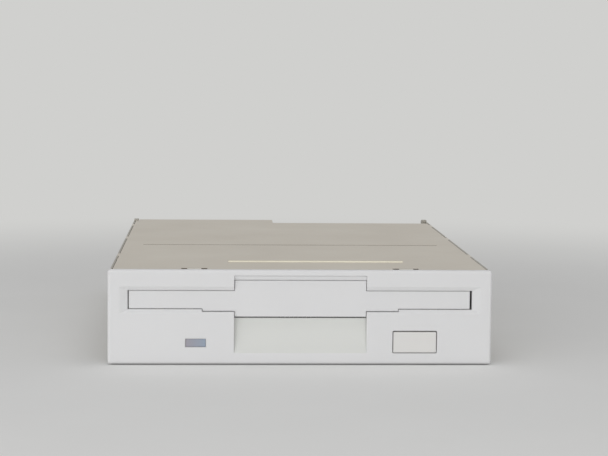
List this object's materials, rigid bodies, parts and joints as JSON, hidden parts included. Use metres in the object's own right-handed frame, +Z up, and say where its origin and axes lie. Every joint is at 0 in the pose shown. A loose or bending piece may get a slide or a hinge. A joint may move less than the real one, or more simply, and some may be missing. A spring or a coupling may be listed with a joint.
{
  "type": "floppy disk drive",
  "caption": "Slot-loading 3.5-inch floppy disk drive: flap door, eject button and lamp in a moulded bezel, with disk lift, spindle motor and stepped heads in a metal frame.",
  "frame": {"origin": "under the middle of the drive, on the plane that it rests on", "axes": "+X to the right seen from the front, +Y from the bezel to the rear, +Z up"},
  "size_m": [0.1016, 0.148, 0.0254],
  "materials": {
    "bezel_plastic": "fine matte moulded ABS",
    "door_plastic": "fine matte moulded ABS",
    "button_plastic": "fine matte moulded ABS",
    "lens_plastic": "smoky clear acrylic",
    "black_plastic": "moulded black plastic",
    "white_plastic": "natural white nylon",
    "die_cast": "die-cast, tumbled",
    "cover_steel": "satin plated sheet steel with a warm cast",
    "plated_steel": "zinc plated sheet",
    "bright_steel": "ground bright",
    "spring_steel": "drawn wire",
    "board_resin": "green solder mask",
    "core_steel": "laminated, varnished",
    "copper_wire": "enamelled copper",
    "bronze": "turned",
    "ferrite": "dark ceramic",
    "carriage_plastic": "glass filled plastic",
    "cable_film": "amber polyimide",
    "contact_metal": "gold flashed",
    "screw_steel": "zinc plated"
  },
  "bodies": {
    "frame": {"front_bezel": "bezel_plastic", "door_spring": "spring_steel", "lamp_lens": "lens_plastic", "lamp_holder": "black_plastic", "chassis_frame": "die_cast", "top_cover": "cover_steel", "slide_springs": "spring_steel", "latch_post": "bright_steel", "latch_spring": "spring_steel", "motor_board": "board_resin", "stator_core": "core_steel", "stator_coils": "copper_wire", "spindle_bearing": "bronze", "index_sensor": "black_plastic", "guide_rod": "bright_steel", "rod_clamps": "plated_steel", "stepper_bracket": "plated_steel", "stepper_can": "plated_steel", "screw_bearing": "bronze", "head_flex_cable": "cable_film", "track_zero_sensor": "black_plastic", "main_board": "board_resin", "controller_chips": "black_plastic", "flex_connector": "white_plastic", "data_header": "black_plastic", "data_pins": "contact_metal", "power_connector": "white_plastic", "power_pins": "contact_metal", "sensing_switches": "black_plastic", "motor_board_screws": "screw_steel", "main_board_screws": "screw_steel", "bracket_screws": "screw_steel", "clamp_screws": "screw_steel"},
    "door": {"slot_door": "door_plastic"},
    "slide": {"slide_plate": "plated_steel", "eject_button": "button_plastic"},
    "holder": {"disk_holder": "plated_steel", "holder_pins": "bright_steel"},
    "latch": {"latch_lever": "white_plastic"},
    "spindle": {"rotor_cup": "plated_steel", "rotor_magnet": "ferrite", "spindle_hub": "bronze", "spindle_shaft": "bright_steel", "drive_pin": "bright_steel"},
    "carriage": {"head_carriage": "carriage_plastic", "lower_head": "ferrite", "follower_pin": "bright_steel", "arm_hinge_pin": "bright_steel", "arm_spring": "spring_steel"},
    "arm": {"upper_head_arm": "carriage_plastic", "upper_head": "ferrite"},
    "screw": {"lead_screw": "bright_steel"},
    "density_key": {"density_plunger": "white_plastic"},
    "write_key": {"write_plunger": "white_plastic"},
    "disk_key": {"disk_plunger": "white_plastic"}
  },
  "joints": [
    {"name": "door_hinge", "type": "hinge", "parent": "frame", "child": "door", "pos_m": [0, -0.0704, 0.0213], "axis": [1, 0, 0], "range_deg": [0, 88], "stiffness_Nm_per_rad": 0.002},
    {"name": "eject_slide", "type": "slide", "parent": "frame", "child": "slide", "axis": [0, -1, 0], "range_m": [0, 0.0055], "deforming": ["slide_springs"]},
    {"name": "holder_drop", "type": "slide", "parent": "frame", "child": "holder", "axis": [0, 0, -1], "range_m": [0, 0.0026]},
    {"name": "latch_swing", "type": "hinge", "parent": "frame", "child": "latch", "pos_m": [-0.038, 0.04, 0.0155], "axis": [0, 0, 1], "range_deg": [0, 30]},
    {"name": "arm_lower", "type": "hinge", "parent": "carriage", "child": "arm", "pos_m": [0, 0.047, 0.017], "axis": [1, 0, 0], "range_deg": [0, 11]},
    {"name": "spindle_spin", "type": "hinge", "parent": "frame", "child": "spindle", "pos_m": [0, -0.017, 0.0112], "axis": [0, 0, 1], "continuous": true},
    {"name": "carriage_travel", "type": "slide", "parent": "frame", "child": "carriage", "axis": [0, -1, 0], "range_m": [0, 0.0148], "deforming": ["head_flex_cable"]},
    {"name": "screw_spin", "type": "hinge", "parent": "frame", "child": "screw", "pos_m": [-0.015, 0.036, 0.0097], "axis": [0, 1, 0], "range_deg": [0, 1421]},
    {"name": "density_press", "type": "slide", "parent": "frame", "child": "density_key", "axis": [0, 0, -1], "range_m": [0, 0.0011], "stiffness_N_per_m": 100},
    {"name": "write_press", "type": "slide", "parent": "frame", "child": "write_key", "axis": [0, 0, -1], "range_m": [0, 0.0011], "stiffness_N_per_m": 100},
    {"name": "disk_press", "type": "slide", "parent": "frame", "child": "disk_key", "axis": [0, 0, -1], "range_m": [0, 0.0011], "stiffness_N_per_m": 100}
  ],
  "couplings": [
    {"joint": "holder_drop", "follows": "eject_slide", "ratio": 0.4727},
    {"joint": "latch_swing", "follows": "eject_slide", "rad_per_m": 95.19},
    {"joint": "arm_lower", "follows": "eject_slide", "rad_per_m": 34.9},
    {"joint": "screw_spin", "follows": "carriage_travel", "rad_per_m": 1675.5}
  ]
}
